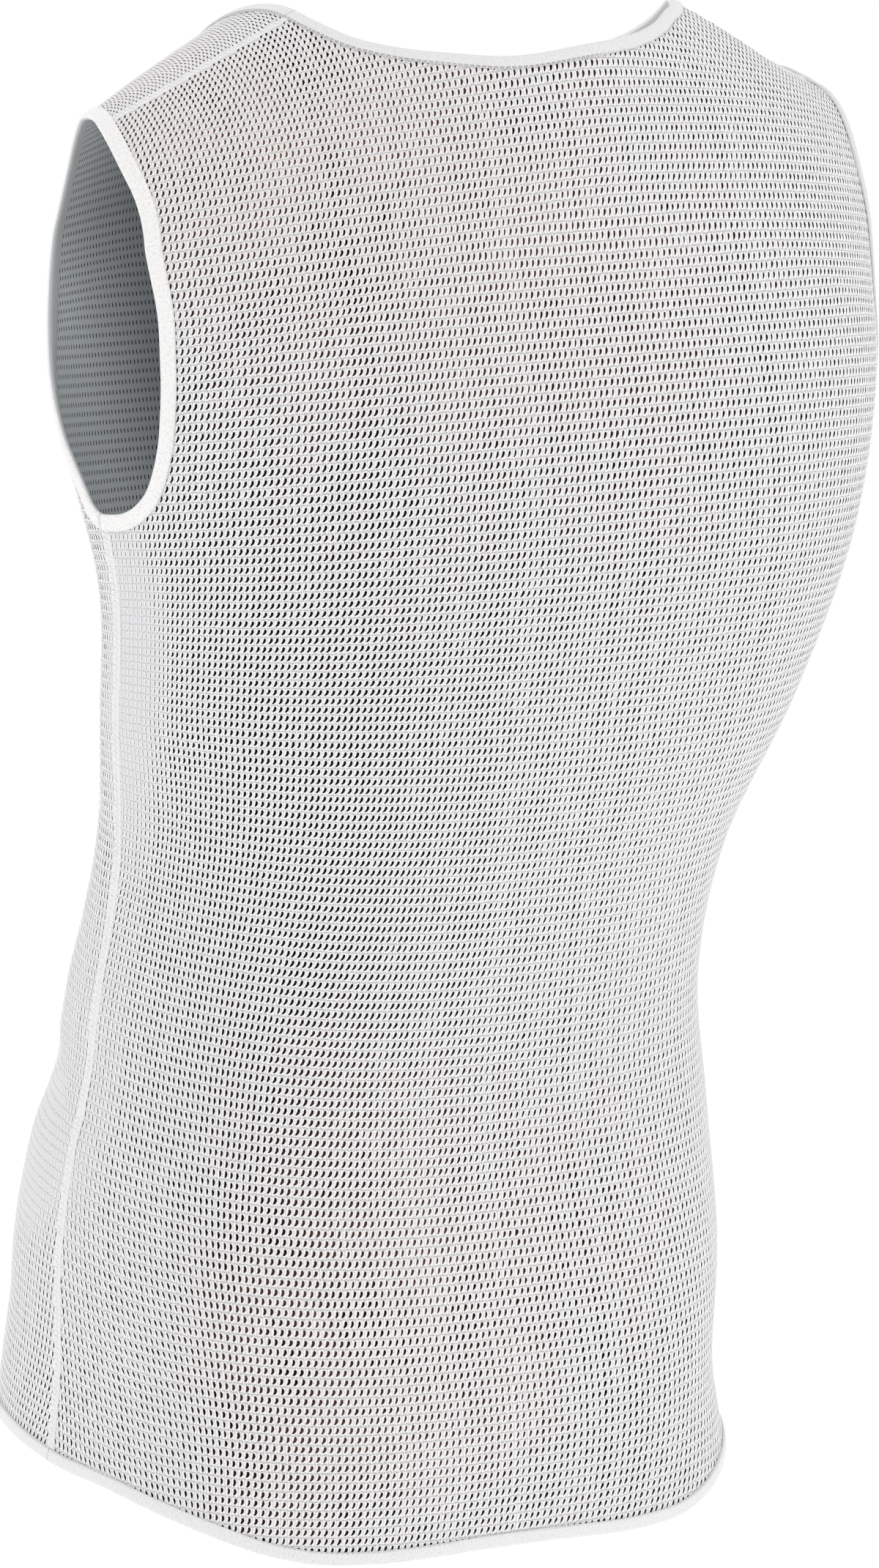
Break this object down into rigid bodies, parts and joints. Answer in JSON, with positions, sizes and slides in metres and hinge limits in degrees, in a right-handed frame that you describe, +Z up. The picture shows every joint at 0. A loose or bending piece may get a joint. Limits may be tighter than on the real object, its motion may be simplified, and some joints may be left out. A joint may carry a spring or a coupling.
{
  "type": "sleeveless mesh cycling base layer",
  "caption": "Sleeveless close-fitting mesh knit top with elastic-bound neck, armholes and hem and flat side and shoulder seams, hollow as worn.",
  "frame": {"origin": "midway between the two shoulder seams, at the mean of their height, where the wearer's shoulders hold the garment up", "axes": "+Z up the body, -Y towards the front, +X towards the wearer's left"},
  "size_m": [0.3883, 0.3149, 0.6662],
  "materials": {
    "knit_mesh": "open mesh knit, matt with a slight filament sheen",
    "elastic_binding": "smooth folded elastic, satin",
    "flatlock_thread": "ridged overlapping stitches, matt"
  },
  "bodies": {
    "root": {"back_panel": "knit_mesh", "front_panel": "knit_mesh", "neck_binding": "elastic_binding", "armhole_binding_left": "elastic_binding", "armhole_binding_right": "elastic_binding", "hem_binding": "elastic_binding", "side_seam_left": "flatlock_thread", "side_seam_right": "flatlock_thread", "shoulder_seam_left": "flatlock_thread", "shoulder_seam_right": "flatlock_thread"}
  },
  "joints": []
}
